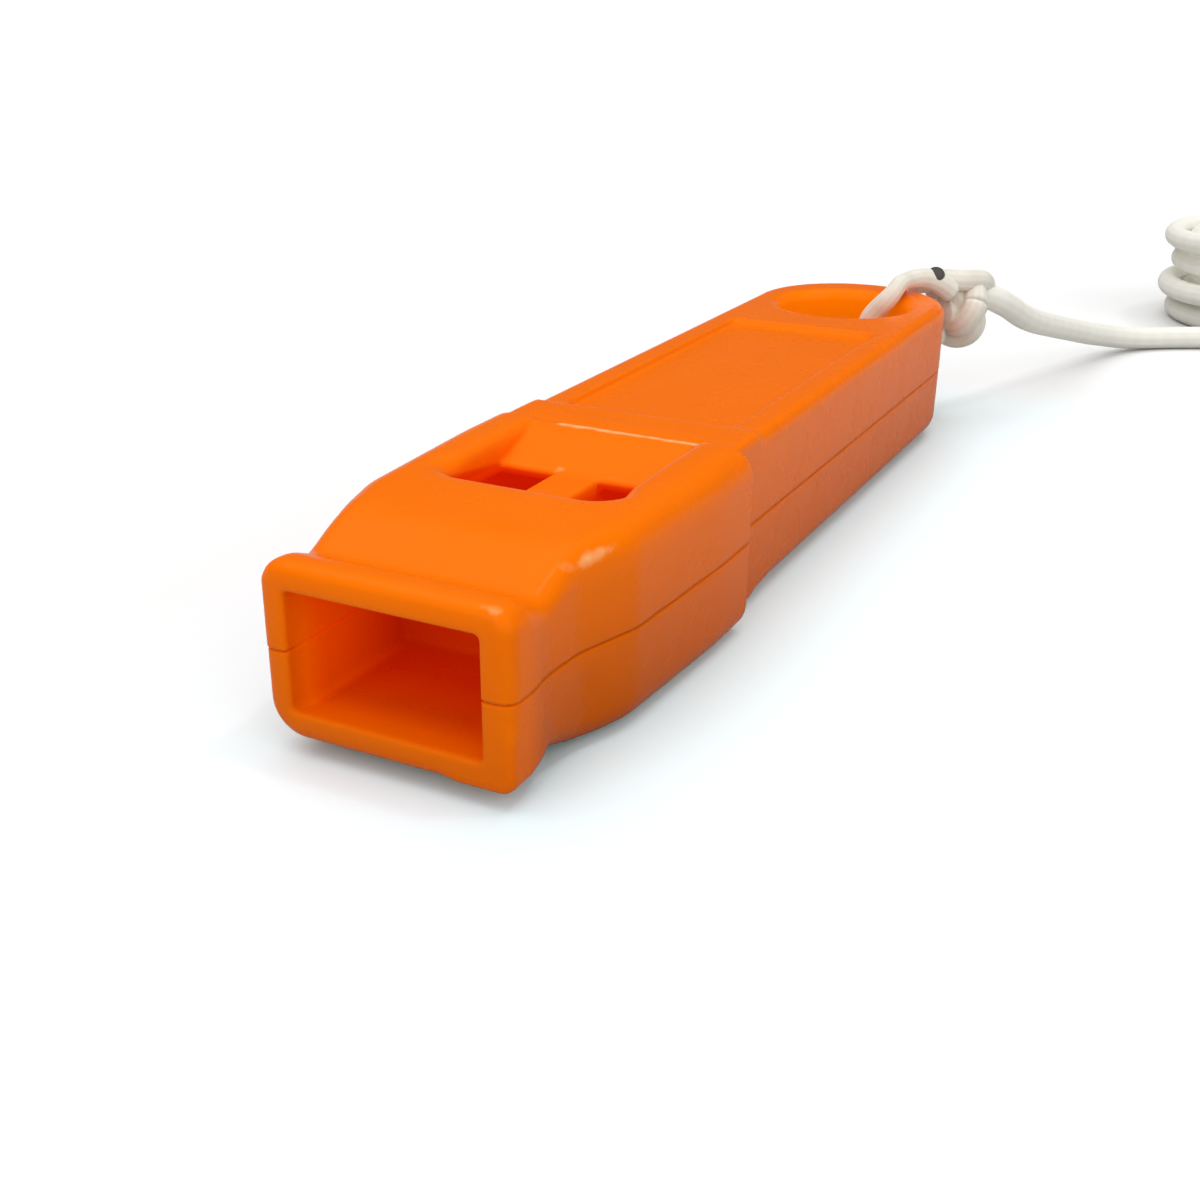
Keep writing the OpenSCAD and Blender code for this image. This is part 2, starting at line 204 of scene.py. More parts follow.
# %% Where the cord runs
CORD_D, TIGHT_D = 2.2, 1.9
BODY_LENGTH, HOLE_STATION, SEAM = 76.0, 67.0, 5.7
LOOP_TURN, LOOP_BESIDE, LOOP_BEHIND = math.radians(56), 1.1, 3.5
UP = np.array([0.0, 0.0, 1.0])

loop_origin = np.array([LOOP_BESIDE, HOLE_STATION + LOOP_BEHIND - BODY_LENGTH / 2, 0.0])
loop_along = np.array([math.cos(LOOP_TURN), math.sin(LOOP_TURN), 0.0])
loop_right = np.array([math.sin(LOOP_TURN), -math.cos(LOOP_TURN), 0.0])


def from_loop(q):
    """From (along the loop's plane, to its right, height) to the frame, in millimetres."""
    q = np.atleast_2d(q)
    return loop_origin + q[:, :1] * loop_along + q[:, 1:2] * loop_right + q[:, 2:] * UP


LOOP_ROUTE = [(8, 1, 10.9), (7.3, 0.9, 11.4), (6.5, 0.6, 11.9), (5.5, 0.4, 12.15), (4.4, 0.3, 12.2),
              (3.3, 0.6, 12.15), (2.3, 1.1, 12.15), (1.5, 1.5, 11.85), (1, 1.6, 11.4), (0.5, 1.3, 10.7),
              (0.2, 0.7, 9.9), (0, 0.2, 9), (0, 0, 7.8), (0, 0, 6.4), (0, 0, 5), (0.1, 0, 3.4),
              (0.5, 0, 2.1), (1.4, 0, 1.3), (2.8, 0, 1.1), (4.3, 0, 1.1), (5.5, 0, 1.2), (6.4, 0, 1.9),
              (6.8, 0, 3.1), (6.8, 0, 4.4), (6.8, 0, 5.5), (7.1, 0, 6.4), (7.5, 0, 6.9), (8, 0, 7)]
TIP_ROUTE = [(8, -1, 10.7), (7.5, -1.1, 10.8), (7, -1.3, 11.3), (6.7, -1.5, 11.8)]
CORD_EXIT = (11.6, 0.3, 10)
CORD_ROUTE = [(8.7, 42.7, 10), (9.5, 43.9, 9.4), (10.1, 45.7, 8.6), (10.7, 48, 7.5), (11.4, 51.5, 6.3),
              (12.3, 56, 5.1), (13.3, 60.2, 4), (14.4, 64, 3), (15.3, 67, 2.3), (16.5, 69.6, 1.7),
              (18, 71.9, 1.3), (20, 73.8, 1.15), (22.4, 75.3, 1.15), (25.2, 76.8, 1.15),
              (28.2, 78.3, 1.15), (31.1, 79.75, 1.15), (34, 81.2, 1.15)]

# %% The coil
COIL_D, COIL_LAYERS, LAYER_TURNS, COIL_PITCH = 22.0, 4, 1.5, 2.68
END_KNOT_D, END_TURNS = 4.6, 0.25
TURN_POINTS = 24
CORD_STEP, FINE_STEP, CORE_STEP, TIP_STEP = 0.0007, 0.0003, 0.0004, 0.00012


def climb(t):
    """A smooth step from 0 to 1 in the half turn round t = 0: (1 - cos(pi s)) / 2."""
    return (1 - np.cos(np.pi * np.clip(2 * t + 0.5, 0, 1))) / 2


def coil_path():
    """The coil spirals in and out at a steady rate, r = out - pitch * (turns since it last turned
    back), and climbs one layer in the half turn where the spiral reverses."""
    last, before = np.array(CORD_ROUTE[-1], float), np.array(CORD_ROUTE[-2], float)
    way = (last - before) / np.linalg.norm(last - before)
    out = COIL_D / 2 + COIL_PITCH * LAYER_TURNS / 2
    centre = last + CORD_D * way + out * np.array([-way[1], way[0], 0])
    turns = COIL_LAYERS * LAYER_TURNS
    t = np.linspace(0, turns + END_TURNS, int(round((turns + END_TURNS) * TURN_POINTS)) + 1)
    phase = t % (2 * LAYER_TURNS)
    r = out - COIL_PITCH * np.where(phase < LAYER_TURNS, phase, 2 * LAYER_TURNS - phase)
    angle = math.atan2(way[1], way[0]) - math.pi / 2 + 2 * np.pi * t
    lift = COIL_PITCH * sum(climb(t - k * LAYER_TURNS) for k in range(1, COIL_LAYERS))
    lift = lift + (COIL_PITCH + END_KNOT_D / 2 - CORD_D / 2) * climb(t - turns)
    turn = centre + np.stack([r * np.cos(angle), r * np.sin(angle), lift], axis=1)
    leave = turn[-1] - turn[-2]
    leave[2] = 0
    leave /= np.linalg.norm(leave)
    return turn, turn[-1] + CORD_D * leave, leave


coil, coil_end, coil_leave = coil_path()
lanyard_points = np.vstack([from_loop(CORD_EXIT), CORD_ROUTE, coil, [coil_end]]) * MM
lanyard_path = smooth_path(lanyard_points, CORD_STEP)
loop_path = smooth_path(from_loop(LOOP_ROUTE) * MM, FINE_STEP)
print("free cord and coil:", round(run_length(lanyard_path), 4), "m")
print("loop:", round(run_length(loop_path), 4), "m")


# %% [markdown]
# The loop is pulled tight, so it is a little thinner than the free cord, and thinnest where it bends
# over the rim. Such a pinch is one bell curve on the radius.

# %% The cord's tubes
TUBE_SIDES, CORE_SIDES = 20, 24
PINCH, PINCH_AT, PINCH_SPREAD = 0.26, 0.2, 0.11

lanyard = tube_piece("lanyard", [tube(lanyard_path, CORD_D / 2 * MM, TUBE_SIDES)])
pinch = 1 - PINCH * bell(np.linspace(0, 1, len(loop_path)), PINCH_AT, PINCH_SPREAD)
loop = tube_piece("loop_round_rim", [tube(loop_path, TIGHT_D / 2 * MM * pinch, TUBE_SIDES)])


# %% [markdown]
# ## The knots
#
# The knot behind the tail is where the loop's two strands, the melted end and the long run meet. It
# is drawn as cord wound round cord: a tight overhand knot, a fat core that fills it, and one turn of
# cord that leans over the top and goes down behind. The far end has a small stopper knot, so that the
# cord can't slip out of a button hole. All of it is made of the same tubes as the cord.

# %% How a knot winds
def overhand(centre, axis, side, radius, swell, depth, turn=0.0, points=220):
    """A closed overhand knot seen end on is a trefoil: going twice round the axis, the cord swings
    three times out and in (radius + swell cos 3t) and three times back and forth (depth sin 3t)."""
    t = np.linspace(0, 2 * np.pi, points)
    r, a = radius + swell * np.cos(3 * t), 2 * t + turn
    spokes = np.outer(r * np.cos(a), side) + np.outer(r * np.sin(a), UP)
    return centre + np.outer(depth * np.sin(3 * t), axis) + spokes


def strand(points, radius, step=FINE_STEP, sides=TUBE_SIDES):
    """A tube along the smooth path through points, all in millimetres but the step."""
    return tube(smooth_path(points * MM, step), radius * MM, sides)


# %% The knot behind the tail
KNOT_ALONG, KNOT_RISE, KNOT_TURN = 9.9, 8.9, math.radians(25)
KNOT_R, KNOT_SWELL, KNOT_DEPTH = 1.55, 0.75, 0.85
WOUND_R, CORE_R, OVER_R = 1.05, 1.5, 0.93
CORE_ROUTE = [(8.02, 0, KNOT_RISE), (9.5, 0.1, KNOT_RISE), (11.7, 0.3, 9.7)]
OVER_ROUTE = [(5.8, -1.5, 11.4), (6.5, -1.3, 11.4), (7.2, -0.5, 11.65), (7.9, 0.4, 11.8), (9, 1.0, 11.75),
              (10.2, 1.05, 11.65), (11.4, 0.8, 11.5), (12.3, 0.4, 11.1), (12.75, 0.05, 10.3),
              (12.6, -0.25, 9.3), (12, -0.45, 8.4), (11.1, -0.6, 7.8)]

knot_centre = from_loop((KNOT_ALONG, 0, KNOT_RISE))
wound = overhand(knot_centre, loop_along, loop_right, KNOT_R, KNOT_SWELL, KNOT_DEPTH, KNOT_TURN)
knot = tube_piece("knot", [strand(wound, WOUND_R),
                           strand(from_loop(CORE_ROUTE), CORE_R, CORE_STEP, CORE_SIDES),
                           strand(from_loop(OVER_ROUTE), OVER_R)])

# %% The stopper knot
STOPPER_MIDDLE, STOPPER_R, STOPPER_SWELL, STOPPER_DEPTH = 2.5, 0.95, 0.35, 1.25
STOPPER_WOUND_R, STOPPER_POINTS = 1.0, 160
STOPPER_CORE = (0.0, 1.5, 3.2, 4.95)

stopper_turns = overhand(coil_end + STOPPER_MIDDLE * coil_leave, coil_leave, np.cross(coil_leave, UP),
                         STOPPER_R, STOPPER_SWELL, STOPPER_DEPTH, points=STOPPER_POINTS)
stopper_core = coil_end + np.outer(STOPPER_CORE, coil_leave)
end_knot = tube_piece("stopper_knot", [strand(stopper_turns, STOPPER_WOUND_R),
                                       strand(stopper_core, CORD_D / 2, CORE_STEP)])

# %% The melted end, which leans over the strand beside it
TIP_LEAN = [(0, 0, 0), (-0.1, 0.6, 0.6), (-0.3, 1.7, 0.75), (-0.8, 2.6, 0.9)]
TIP_FULL, TIP_TAPER = 0.95, 0.2
BEAD, BEAD_AT, BEAD_SPREAD = 0.06, 0.8, 0.12
DOME_AT, DOME_LENGTH = 0.82, 0.185

tip_path = smooth_path(from_loop(np.add(TIP_ROUTE, TIP_LEAN)) * MM, TIP_STEP)
tip_share = np.linspace(0, 1, len(tip_path))
bead = TIP_FULL - TIP_TAPER * tip_share + BEAD * bell(tip_share, BEAD_AT, BEAD_SPREAD)
dome = np.sqrt(1 - rise(tip_share, DOME_AT, DOME_LENGTH) ** 2)
tip = tube_piece("melted_tip", [tube(tip_path, TIGHT_D / 2 * MM * bead * dome, TUBE_SIDES)])

for piece, nodes in ((loop, ["lanyard_loop"]), (lanyard, ["lanyard_cord", "lanyard_coil"]),
                     (knot, ["lanyard_knot"]), (end_knot, ["lanyard_end_knot"]), (tip, ["lanyard_tip"])):
    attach(piece, "root")
    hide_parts(*nodes)


# %% [markdown]
# ## The shells as a distance field
#
# The whistle is a solid with pockets: a mouth, two windways, two windows with a blade behind them, a
# sunk panel and a hole. Moulded edges are all a little round, and that is hard to get by cutting
# meshes. So the shells are described by one function that tells, for any point, how far it is outside
# the plastic. Joining, cutting and rounding are then a smallest, a largest and a softened largest.

# %% Sizes of the shells, in millimetres from the lip and from the seam
FRONT_H, FRONT_LENGTH = 11.4, 24.85
REAR_W, REAR_H, REAR_R, COLLAR_R, BELLY_R, BELLY_R_LOSS = 15.7, 10.7, 0.85, 0.5, 1.6, 0.8
MOUTH_W, MOUTH_H, MOUTH_DEPTH, MOUTH_R = 11.0, 6.5, 10.0, 0.3
WINDOW_AT, WINDOW_LENGTH, WINDOW_SPAN, WINDOW_R, DIVIDER = 13.9, 5.9, 10.1, 0.3, 2.9
OPENING_SPAN, OPENING_LENGTH, OPENING_R = 10.1, 13.0, 1.4
BLADE_TOP, BLADE_EDGE, WINDWAY_H, WINDWAY_R = 4.15, 0.6, 1.3, 0.2
CHAMBER_SPAN, CHAMBER_H, CHAMBER_R, LEFT_CHAMBER, RIGHT_CHAMBER = 12.2, 7.1, 0.4, 35.0, 29.0
COLLAR, COLLAR_RISE, DRAFT = 3.8, 0.18, 0.012
PANEL_AT, PANEL_LENGTH, PANEL_W, PANEL_R, PANEL_DEPTH = 29.1, 28.0, 11.4, 1.0, 0.3
HOLE_D, HOLE_EDGE = 10.6, 0.5
CHANNEL_W, CHANNEL_DEPTH = TIGHT_D + 0.6, TIGHT_D + 0.35
TAIL_AT = BODY_LENGTH - REAR_W / 2
BLADE_AT = WINDOW_AT + WINDOW_LENGTH
HALF_CHAMBER, HALF_WINDOW = (CHAMBER_SPAN - DIVIDER) / 4, (WINDOW_SPAN - DIVIDER) / 4

# Widths over which the edges and corners are rounded
LIP_EDGE, FRONT_EDGE, POCKET_EDGE, MOUTH_FOOT, STEP_FILL = 0.9, 0.35, 0.3, 0.5, 0.2
PIT_EDGE, PIT_FRONT_EDGE, RAMP_EDGE, RAMP_FOOT, FLOOR_EDGE = 1.15, 0.7, 0.6, 0.1, 0.15
SEAM_EDGE, SEAM_GROOVE, SEAM_NOTCH = 0.004, 0.17, 0.8

# The lip's lower corners: the left one is rounder, the right one is sharper, and the lip is thicker there
LIP_SHIFT, LEFT_ROUNDER, RIGHT_SHARPER, RIGHT_CRISPER, RIGHT_THICKER = 0.1, 0.8, 0.45, 0.4, 0.75

# Places along the front section, with half the width, the height above the seam, the depth below
# it, and the corner radius there
HALF_WIDTH, HEIGHT, FALL, CORNER = 1, 2, 3, 4
PROFILE = np.array([
    (-1.0, 7.12, 4.72, 4.78, 1.3), (0.0, 7.12, 4.72, 4.78, 1.3), (1.7, 7.12, 4.68, 4.78, 1.3),
    (2.4, 7.12, 4.35, 4.78, 1.3), (3.4, 7.0, 4.0, 4.45, 1.4), (6.5, 7.15, 5.4, 5.3, 1.3),
    (10.6, 8.35, 5.55, 5.5, 1.6), (20.7, 8.85, 5.7, 5.7, 1.8), (26.0, 8.85, 5.7, 5.7, 1.8)])


def soft_profile(y, column, spread=0.35):
    """Reads a column of the profile at y, with its corners rounded: the mean of the straight-line
    values on 17 places spread round y, weighted by a bell."""
    offsets = np.linspace(-2.2, 2.2, 17)
    weights = np.exp(-offsets**2 / 2)
    places, sizes = PROFILE[:, 0], PROFILE[:, column]
    total = sum(w * np.interp(y + o * spread, places, sizes) for o, w in zip(offsets, weights))
    return total / weights.sum()


# %% Ways to join and cut
def soft_max(a, b, k):
    """The larger of two distances, with the crease rounded over a width k."""
    h = np.clip(k - np.abs(a - b), 0, None)
    return np.maximum(a, b) + h * h / (4 * k)


def soft_min(a, b, k):
    """The smaller of two distances, with the crease filled over a width k."""
    return -soft_max(-a, -b, k)


def plate(a, b, half_a, half_b, r):
    """Distance to a rectangle with round corners: the corner part is a length, the sides a largest."""
    p, q = np.abs(a) - (half_a - r), np.abs(b) - (half_b - r)
    return np.hypot(np.maximum(p, 0), np.maximum(q, 0)) + np.minimum(np.maximum(p, q), 0) - r


def slab(v, low, high):
    """Distance to the space between two parallel planes."""
    return np.maximum(low - v, v - high)


# %% The whistle's outside
def outside(x, y, z):
    """Distance to the whole moulding before anything is cut out of it: the front section and the
    rear section joined. The lower half leans in a little towards the floor, as a mould needs."""
    low, lip = rise(z, -1, -1), rise(y, 4, -2)
    low_left, low_right = low * rise(x, -3, -1), low * rise(x, 3, 1)
    at = y - RIGHT_THICKER * low_right * rise(y, 9, -3)
    above = soft_profile(y, HEIGHT, 0.35 + 0.5 * rise(y, 4, 1.5))
    height = np.where(z > 0, above, soft_profile(at, FALL, 0.5))
    radius = soft_profile(y, CORNER) + lip * (LEFT_ROUNDER * low_left - RIGHT_SHARPER * low_right)
    front = plate(x - LIP_SHIFT * lip, z, soft_profile(at, HALF_WIDTH), height, radius)
    front = soft_max(front, -y, LIP_EDGE - RIGHT_CRISPER * low_right)
    front = soft_max(front, y - FRONT_LENGTH, FRONT_EDGE)
    across = np.where(y > TAIL_AT, np.hypot(x, np.maximum(y - TAIL_AT, 0)), np.abs(x))
    collar = 1 / (1 + np.exp(np.clip((y - FRONT_LENGTH - COLLAR) / 0.05, -40, 40)))
    half_height = REAR_H / 2 + COLLAR_RISE * collar
    above = REAR_R + (COLLAR_R - REAR_R) * collar
    radius = np.where(z > 0, above, BELLY_R - BELLY_R_LOSS * rise(y, 32, -6))
    rear = plate(across, z, REAR_W / 2 - DRAFT * np.maximum(-z, 0), half_height, radius)
    rear = soft_max(rear, FRONT_LENGTH - 2 - y, STEP_FILL)
    return soft_min(front, rear, STEP_FILL)


# %% What is cut out of it
def cuts(x, y, z, upper):
    """Distances to the pockets with crisp edges (mouth, windways, chambers, windows, panel or cord
    channel), to the soft-edged pit round the windows, to the ramp that fills the back of that pit,
    and to the hole. The lower half has no pit and no ramp."""
    mouth = soft_max(plate(x, z, MOUTH_W / 2, MOUTH_H / 2, MOUTH_R), y - MOUTH_DEPTH, MOUTH_FOOT)
    side = np.abs(x) - DIVIDER / 2 - HALF_CHAMBER
    end = WINDOW_AT + np.where(x < 0, LEFT_CHAMBER, RIGHT_CHAMBER)
    chamber = plate(side, z, HALF_CHAMBER, CHAMBER_H / 2, CHAMBER_R)
    cut = np.minimum(mouth, np.maximum(chamber, slab(y, WINDOW_AT, end)))
    hole = HOLE_D / 2 - np.hypot(x, y - HOLE_STATION)
    if not upper:
        px, py = x - loop_origin[0], y - BODY_LENGTH / 2 - loop_origin[1]
        behind = px * loop_along[0] + py * loop_along[1]
        beside = px * loop_right[0] + py * loop_right[1]
        channel = soft_max(np.abs(beside) - CHANNEL_W / 2, z + SEAM - CHANNEL_DEPTH, 0.5)
        return np.minimum(cut, soft_max(channel, -behind, 0.3)), None, None, hole
    side = np.abs(x) - DIVIDER / 2 - HALF_WINDOW
    middle = BLADE_TOP - BLADE_EDGE / 2 - WINDWAY_H / 2
    windway = plate(side, z - middle, HALF_WINDOW, WINDWAY_H / 2, WINDWAY_R)
    windway = np.maximum(windway, slab(y, MOUTH_DEPTH - 1, WINDOW_AT + 1))
    window = plate(side, y - WINDOW_AT - WINDOW_LENGTH / 2, HALF_WINDOW, WINDOW_LENGTH / 2, WINDOW_R)
    cut = np.minimum(cut, np.minimum(windway, np.maximum(window, -z)))
    slope = (FRONT_H / 2 - BLADE_TOP) / (FRONT_LENGTH - BLADE_AT)
    sloping = (BLADE_TOP + slope * (y - BLADE_AT) - z) / math.hypot(1, slope)
    ramp = -soft_max(BLADE_TOP - z, sloping, FLOOR_EDGE)
    pit = plate(x, y - WINDOW_AT - OPENING_LENGTH / 2, OPENING_SPAN / 2, OPENING_LENGTH / 2, OPENING_R)
    panel = plate(x, y - PANEL_AT - PANEL_LENGTH / 2, PANEL_W / 2, PANEL_LENGTH / 2, PANEL_R)
    panel = soft_max(panel, REAR_H / 2 - PANEL_DEPTH - z, FLOOR_EDGE)
    return np.minimum(cut, panel), pit, ramp, hole


def shell(x, y, z, upper):
    """Distance to one half of the whistle, with its edges rounded where the pockets meet it. The
    pit has a wide round edge, most of all in front, and the ramp is put back into it with a crisp
    foot. The seam is a fine groove outside, wider at the left end of the lip, and closed inside."""
    skin = outside(x, y, z)
    cut, pit, ramp, hole = cuts(x, y, z, upper)
    body = skin
    if upper:
        pitted = soft_max(body, -pit, PIT_EDGE + PIT_FRONT_EDGE * rise(y, 16.5, -2))
        body = soft_min(pitted, soft_max(body, ramp, RAMP_EDGE), RAMP_FOOT)
    body = soft_max(body, -cut, POCKET_EDGE)
    body = soft_max(body, hole, 2 * HOLE_EDGE)
    groove = SEAM_EDGE + SEAM_GROOVE * rise(skin, -0.8, 0.5) * rise(y, 2, 3)
    groove = groove + SEAM_NOTCH * rise(x, -6.75, -0.3) * rise(y, 2.6, -0.8)
    return soft_max(body, -z if upper else z, groove)


# %% [markdown]
# ## From field to mesh
#
# A field becomes a surface by laying a grid over it and looking for grid cells that the surface
# passes through. Each such cell gets one point, at the mean of the places where the surface crosses
# its edges, and each crossed edge gets one face between the four cells round it. The points are then
# drawn onto the exact surface by stepping against the field's slope.

# %% Surface net
def surface_net(field, xs, ys, zs):
    """Points and quads of the surface field = 0 on a grid: whole arrays, one direction at a time."""
    value = field(*np.meshgrid(xs, ys, zs, indexing="ij"))
    inside = value < 0
    shape = tuple(n - 1 for n in value.shape)
    total, count = np.zeros(shape + (3,)), np.zeros(shape)
    axes, crossings = (xs, ys, zs), []
    for k in range(3):
        low = [slice(None)] * 3
        high = [slice(None)] * 3
        low[k], high[k] = slice(None, -1), slice(1, None)
        crossed = inside[tuple(low)] != inside[tuple(high)]
        where = np.argwhere(crossed)
        v0, v1 = value[tuple(low)][crossed], value[tuple(high)][crossed]
        share = v0 / (v0 - v1)
        place = np.stack([axes[m][where[:, m]] for m in range(3)], axis=1).astype(float)
        place[:, k] += share * (axes[k][where[:, k] + 1] - axes[k][where[:, k]])
        a, b = [m for m in range(3) if m != k]
        for da in (0, 1):
            for db in (0, 1):
                cell = where.copy()
                cell[:, a] -= da
                cell[:, b] -= db
                good = (cell >= 0).all(1) & (cell < shape).all(1)
                np.add.at(total, tuple(cell[good].T), place[good])
                np.add.at(count, tuple(cell[good].T), 1)
        crossings.append((k, a, b, where, inside[tuple(low)][crossed]))
    index = np.full(shape, -1)
    used = count > 0
    index[used] = np.arange(used.sum())
    points = total[used] / count[used][:, None]
    quads = []
    for k, a, b, where, starts_inside in crossings:
        corners = []
        for da, db in ((0, 0), (1, 0), (1, 1), (0, 1)):
            cell = where.copy()
            cell[:, a] -= da
            cell[:, b] -= db
            good = (cell >= 0).all(1) & (cell < shape).all(1)
            corners.append(np.where(good, index[tuple(np.clip(cell, 0, np.array(shape) - 1).T)], -1))
        face = np.stack(corners, axis=1)
        flip = starts_inside ^ (k == 1)
        face = np.where(flip[:, None], face, face[:, ::-1])
        quads.append(face[(face >= 0).all(1)])
    return points, np.vstack(quads)


def draw_onto(field, points, rounds=3, h=0.02, most=0.12):
    """Moves each point by -d n, where d is the field there and n its slope, a few times."""
    start = points.copy()
    for _ in range(rounds):
        x, y, z = points.T
        d = field(x, y, z)
        ahead = np.stack([field(x + h, y, z), field(x, y + h, z), field(x, y, z + h)], axis=1)
        behind = np.stack([field(x - h, y, z), field(x, y - h, z), field(x, y, z - h)], axis=1)
        slope = (ahead - behind) / (2 * h)
        step = -(d / np.maximum((slope**2).sum(1), 0.2))[:, None] * slope
        points = start + np.clip(points + step - start, -most, most)
    return points


def spaced(low, high, step):
    """Even places from low to high, about a step apart."""
    return np.linspace(low, high, max(int(round((high - low) / step)), 1) + 1)


# %% [markdown]
# The colour of this plastic depends on where a point lies, because light and shade are painted into it:
# painted shade makes it darker and redder in the pockets, a painted glow stands for light from behind
# where the wall is thin, and painted highlights make some edges pale. These three are worked out here,
# with the shape, and each is kept on the mesh as a number for every point.

# %% How deep a point lies, for painted shade and glow
HAIR = 0.15
MOUTH_RED, MOUTH_RAMP, LEFT_WALL_PALER = 0.85, 7.0, 0.3
INSIDE_H, INSIDE_END = 10.8, 60.0
WINDOW_RAMP, FACE_RAMP, FACE_DROP, FACE_DEPTH = 1.3, 0.25, 0.14, 0.45
PIT_WALL_RED, PIT_WALL_TOP, PIT_MIDDLE, PIT_HALF = 0.35, 5.7, 18.6, 5.0
SHADE_AT, SHADE_HEIGHT, SHADE_SLOPE, SHADE_RAMP = 14.1, 5.2, 0.137, 0.4


def in_mouth(x, y, z):
    """True on the mouth's walls, and a hair outside them."""
    across, up_down = np.abs(x) < MOUTH_W / 2 + HAIR, np.abs(z) < MOUTH_H / 2 + HAIR
    return across & up_down & (y < MOUTH_DEPTH + 2 * HAIR)


def painted_pocket_shade(x, y, z):
    """Painted shade and painted red glow: 0 on the outside, rising to 1 in the pockets: in the mouth over
    the first millimetres behind the lip, less on its left wall, which the light from the right reaches,
    in the windows over those below the blade and at once on the blade's own edge, and on the walls
    above them, a little near the top and fully below a slanting line of painted shade."""
    mouth = MOUTH_RED * rise(y, -0.2, MOUTH_RAMP) * in_mouth(x, y, z)
    mouth = mouth * (1 - LEFT_WALL_PALER * rise(x, -4.6, -0.6) * rise(y, 9, -3))
    inner = (np.abs(x) < CHAMBER_SPAN / 2 + 0.1) & (np.abs(z) < INSIDE_H / 2)
    inner = inner & (y > MOUTH_DEPTH + 0.1) & (y < INSIDE_END)
    face = rise(y, BLADE_AT - FACE_DEPTH, FACE_RAMP)
    ramp = WINDOW_RAMP + (FACE_RAMP - WINDOW_RAMP) * face
    window = rise(z, BLADE_TOP + 0.1 - FACE_DROP * face, -ramp) * inner
    edge = OPENING_SPAN / 2 + 0.25
    shaded = rise(z, SHADE_HEIGHT - SHADE_SLOPE * (y - SHADE_AT), -SHADE_RAMP)
    wall = np.maximum(shaded, PIT_WALL_RED * rise(z, PIT_WALL_TOP, -0.9))
    wall = wall * rise(np.abs(x), edge - 0.6, 0.35) * (np.abs(x) < edge + 0.5)
    wall = wall * (np.abs(y - PIT_MIDDLE) < PIT_HALF)
    return np.maximum(np.maximum(mouth, window), wall)


# %% Where a glow is painted, as if light came through
def thin_wall(x, y, z):
    """1 on the wall of the cord hole, less on the mouth's left wall, 0 elsewhere: a painted glow stands
    there for light coming through the plastic."""
    hole = rise(np.hypot(x, y - HOLE_STATION), HOLE_D / 2 + 0.5, -0.5)
    left = rise(x, -4.7, -0.5) * rise(y, 0.3, 1.2) * rise(y, MOUTH_DEPTH, -6) * in_mouth(x, y, z)
    return np.maximum(hole, left * (0.62 - 0.1 * np.clip(z, 0, 3)))


# %% Where highlights are painted on the edges
CREST_AT, CREST_W, CREST_LOW, CREST_LEFT, CREST_RIGHT = 24.6, 0.26, 5.3, -4.1, 6.1
SHOULDER_AT, SHOULDER_SIZE = (7.05, 7.7, 4.62), (0.4, 2.1, 0.42)
SHOULDER_TURNS_AT, SHOULDER_SLANT = 7.3, (0.29, 0.05)
CORNER_AT, CORNER_SIZE = (6.0, 0.3, 4.65), (1.1, 0.45, 0.3)
FOOT_AT, FOOT_SIZE = (-1.3, 20.1, 4.2), (0.5, 0.5, 0.4)


def spot(x, y, z, place, size):
    """A soft spot of 1 round a place: a bell in each of the three directions, multiplied."""
    return bell(x, place[0], size[0]) * bell(y, place[1], size[1]) * bell(z, place[2], size[2])


def painted_highlights(x, y, z):
    """Where pale highlights are painted on the edges: along the step behind the ramp, at the right
    shoulder, at the lip's upper right corner, at the right end of the front section, and by the divider's
    foot."""
    crest = bell(y, CREST_AT, CREST_W) * (z > CREST_LOW)
    crest = crest * rise(x, CREST_LEFT, 0.5) * rise(x, CREST_RIGHT, -0.2)
    out, lift = ((y - SHOULDER_TURNS_AT) * slant for slant in SHOULDER_SLANT)
    shoulder = spot(x - out, y, z - lift, SHOULDER_AT, SHOULDER_SIZE)
    corner = spot(x, y, z, CORNER_AT, CORNER_SIZE)
    end = bell(y, FRONT_LENGTH - 0.1, 0.12) * rise(x, 8.4, 0.2) * rise(np.abs(z - 0.6), 5, -2)
    foot = spot(x, y, z, FOOT_AT, FOOT_SIZE)
    return np.clip(crest + 0.9 * shoulder + 0.75 * corner + 0.6 * end + 0.5 * foot, 0, 1)


# %% Make the shells
def shell_piece(name, upper):
    """Samples the field finely over the mouthpiece and more widely along the plain tail."""
    def field(x, y, z):
        return shell(x, y, z, upper)

    xs = spaced(-9.13, 9.13, 0.2)
    stretches = [spaced(-0.27, 26.0, 0.17), spaced(26.0, 59.0, 0.34), spaced(59.0, 76.3, 0.22)]
    zs = spaced(-0.21, 5.91, 0.18) if upper else spaced(-5.91, 0.21, 0.18)
    points, quads = surface_net(field, xs, np.unique(np.concatenate(stretches)), zs)
    points = draw_onto(field, points)
    piece = make_piece(name, (points - np.array([0.0, BODY_LENGTH / 2, -SEAM])) * MM, quads.tolist())
    # The marks for painted shade and glow in the pockets, painted glow on thin walls, and painted
    # highlights on edges.
    for label, mark in (("depth", painted_pocket_shade), ("thin_wall", thin_wall), ("wear", painted_highlights)):
        attribute = piece.data.attributes.new(label, "FLOAT", "POINT")
        attribute.data.foreach_set("value", mark(*points.T).astype(np.float32))
    return piece


upper_shell = shell_piece("upper_half", True)
lower_shell = shell_piece("lower_half", False)
for piece, node in ((upper_shell, "upper_shell"), (lower_shell, "lower_shell")):
    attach(piece, "root")
    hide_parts(node)


# %% [markdown]
# ## Writing shader maths as sums
#
# A material is a graph of nodes. Wiring it by hand hides what it computes, so a small class wraps an
# output socket and lets Python's own signs add the Math nodes: 1 - mask * 0.2 reads as what it is.

